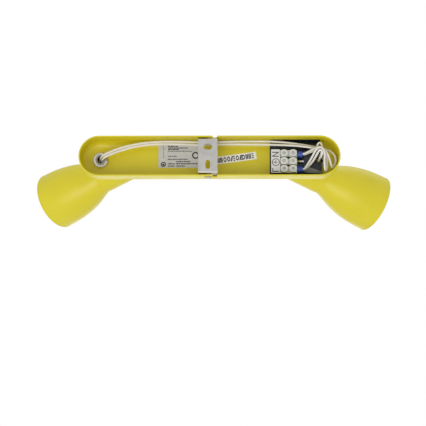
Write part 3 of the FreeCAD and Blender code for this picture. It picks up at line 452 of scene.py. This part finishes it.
def printed(name, outlines, surface):
    """Thin closed ink shapes. surface(u, v, lift) gives the place in millimetres."""
    bm = bmesh.new()
    for outline in outlines:
        bottom = [bm.verts.new(surface(u, v, 0.0) * MM) for u, v in outline]
        top = [bm.verts.new(surface(u, v, INK_T) * MM) for u, v in outline]
        bm.faces.new(top)
        bm.faces.new(list(reversed(bottom)))
        size = len(outline)
        for k in range(size):
            bm.faces.new((bottom[k], bottom[(k + 1) % size], top[(k + 1) % size], top[k]))
    bmesh.ops.remove_doubles(bm, verts=bm.verts, dist=1e-7)
    new_piece(name, bm, "bar", "label_paper", smooth=False, material=INK)


# The tray's floor and the bend along its upper edge, in millimetres as in the CAD.
FLOOR_Y = 23.8
LABEL_T = 0.15
BEND_Z = 12.5
BEND_Y = 17.0
BEND_R = 6.65


def on_rating_label(u, v, lift):
    """The rating label runs up the tray's rounded edge."""
    if v <= BEND_Z:
        return Vector((u, FLOOR_Y - LABEL_T - lift, v))
    radius = BEND_R - lift
    turn = (v - BEND_Z) / BEND_R
    return Vector((u, BEND_Y + radius * math.cos(turn), BEND_Z + radius * math.sin(turn)))


def text_row(u_start, u_end, v, height, lengths):
    """A row of short dashes that stands for a line of small print."""
    dashes = []
    u = u_start
    k = 0
    while u < u_end:
        stop = min(u + lengths[k % len(lengths)], u_end)
        dashes += bar_mark(u, v - height / 2, stop, v + height / 2)
        u = stop + WORD_GAP
        k += 1
    return dashes


WORD_GAP = 0.35
WORDS = [1.6, 0.7, 2.3, 1.1, 0.5, 1.9, 0.9]
# Each row's start and end along the label, its height on the label, and how tall its dashes are.
ROWS = [(-42.4, -32.1, 14.6, 1.1), (-42.4, -22.2, 13.0, 1.0), (-42.4, -31.2, 11.5, 1.1),
        (-42.4, -17.8, 9.7, 0.7), (-42.4, -33.3, 4.4, 0.9), (-42.4, -22.2, 1.3, 1.0),
        (-34.0, -19.4, -1.1, 1.1), (-42.4, -35.4, -3.3, 1.1), (-34.0, -12.0, -3.3, 1.1),
        (-42.4, -35.8, -5.7, 1.0), (-34.0, -25.0, -5.7, 1.0)]
rating_print = []
for number, (u_start, u_end, v, height) in enumerate(ROWS):
    shifted = WORDS[number % 3:] + WORDS[:number % 3]
    rating_print += text_row(u_start, u_end, v, height, shifted)
for number in range(9):
    u = -47.1 + 0.25 * math.sin(number * 1.3)
    v = 2.4 + 1.45 * number
    rating_print += bar_mark(u, v, u + 0.6, v + 0.9)
rating_print += ring_mark(-47.0, -4.0, 2.6, 1.0)
rating_print += bar_mark(-47.9, -5.2, -46.0, -3.4)
rating_print += ring_mark(-14.3, 5.3, 3.6, 1.3)
printed("rating_label_print", rating_print, on_rating_label)

BATCH_AT = Vector((26.5, FLOOR_Y - LABEL_T, 2.4))
BATCH_TURN = math.radians(7.9)


def on_batch_label(u, v, lift):
    """The slanted label lies flat on the tray's floor."""
    return BATCH_AT + Vector((u * math.cos(BATCH_TURN) - v * math.sin(BATCH_TURN), -lift,
                              u * math.sin(BATCH_TURN) + v * math.cos(BATCH_TURN)))


def batch_marks():
    """Bars, rings, slashes and stacked dashes that stand for a stamped code."""
    half = 2.6
    marks = []
    for u in (-18.9, -16.0, 10.1, 13.1):
        marks += bar_mark(u, -half, u + 1.1, half) + bar_mark(u + 1.45, -half, u + 2.5, half)
    for u in (-11.0, -7.2, 1.7, 7.9):
        marks += ring_mark(u, 0, half, 1.25, 0.6)
    for u in (-5.4, 3.5):
        marks += slash_mark(u, -half, u + 1.6, half, 1.3)
    for u in (-2.5, 5.2, 16.4):
        for v in (-half, -0.55, half - 1.1):
            marks += bar_mark(u, v, u + 1.9, v + 1.1)
    return marks


printed("batch_label_print", batch_marks(), on_batch_label)

plate_low, plate_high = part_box("marking_plate")
PLATE_Y = plate_low.y / MM
PLATE_U = (plate_low.x + plate_high.x) / MM / 2


def on_marking_plate(u, v, lift):
    """The flat face of the plate beside the block. The ink sinks a little into it."""
    return Vector((PLATE_U + u, PLATE_Y + 0.02 - lift, v))


# The general marks for neutral, earth (a cross in a ring) and live, from the top down.
plate_marks = bar_mark(-3.4, 5.3, 3.2, 6.2) + bar_mark(-3.4, 1.2, 3.2, 2.1)
plate_marks += [[(-3.4, 2.0), (-2.2, 2.0), (3.2, 5.4), (2.0, 5.4)]]
plate_marks += ring_mark(0.2, -4.4, 3.9, 0.7)
plate_marks += bar_mark(-2.6, -4.75, 1.9, -4.05) + bar_mark(-0.1, -6.4, 0.5, -2.4)
plate_marks += bar_mark(-3.4, -14.4, 3.2, -13.4) + bar_mark(-3.4, -13.5, -2.5, -10.4)
printed("marking_plate_print", plate_marks, on_marking_plate)


# ---- Floor, world and lights ----
def floor():
    """A plain pale floor, well below the lamp, which hangs on a wall."""
    mat = principled("floor", (0.82, 0.82, 0.81), 0.7)
    two_tone(mat, noise(mat, 3, 2), (0.80, 0.80, 0.79), (0.84, 0.84, 0.83))
    bm = bmesh.new()
    reach, low = 8.0, -1.5
    bm.faces.new([bm.verts.new((x, y, low)) for x, y in
                  ((-reach, -reach), (reach, -reach), (reach, reach), (-reach, reach))])
    mesh = bpy.data.meshes.new("floor")
    bm.to_mesh(mesh)
    bm.free()
    mesh.materials.append(mat)
    ground = bpy.data.objects.new("floor", mesh)
    bpy.context.scene.collection.objects.link(ground)


def world():
    """White behind the lamp; a softer white lights it."""
    sky = bpy.data.worlds.new("studio")
    bpy.context.scene.world = sky
    sky.use_nodes = True
    tree = sky.node_tree
    tree.nodes.clear()
    out = tree.nodes.new("ShaderNodeOutputWorld")
    mix = tree.nodes.new("ShaderNodeMixShader")
    path = tree.nodes.new("ShaderNodeLightPath")
    soft = tree.nodes.new("ShaderNodeBackground")
    soft.inputs["Color"].default_value = (0.97, 0.98, 1.0, 1)
    soft.inputs["Strength"].default_value = 0.72
    seen = tree.nodes.new("ShaderNodeBackground")
    seen.inputs["Color"].default_value = (1, 1, 1, 1)
    seen.inputs["Strength"].default_value = 1.0
    tree.links.new(path.outputs["Is Camera Ray"], mix.inputs["Fac"])
    tree.links.new(soft.outputs["Background"], mix.inputs[1])
    tree.links.new(seen.outputs["Background"], mix.inputs[2])
    tree.links.new(mix.outputs["Shader"], out.inputs["Surface"])


def softbox(name, place, size, power, colour):
    """A large area light aimed at the lamp."""
    data = bpy.data.lights.new(name, "AREA")
    data.shape = "RECTANGLE"
    data.size, data.size_y = size
    data.energy = power
    data.color = colour
    light = bpy.data.objects.new(name, data)
    light.location = place
    aim = Vector((0, 0.05, -0.02)) - Vector(place)
    light.rotation_euler = aim.to_track_quat("-Z", "Y").to_euler()
    light.visible_camera = False
    bpy.context.scene.collection.objects.link(light)


floor()
world()
softbox("key", (-0.5, -1.6, -1.1), (1.4, 1.0), 15.5, (1.0, 0.985, 0.96))
softbox("back", (0.0, 2.2, -0.55), (3.0, 0.9), 9.0, (1.0, 1.0, 1.0))
softbox("top", (0.2, 0.6, 1.5), (1.5, 1.5), 7.0, (1.0, 1.0, 1.0))

view = bpy.context.scene.view_settings
view.view_transform = "Standard"
view.look = "None"
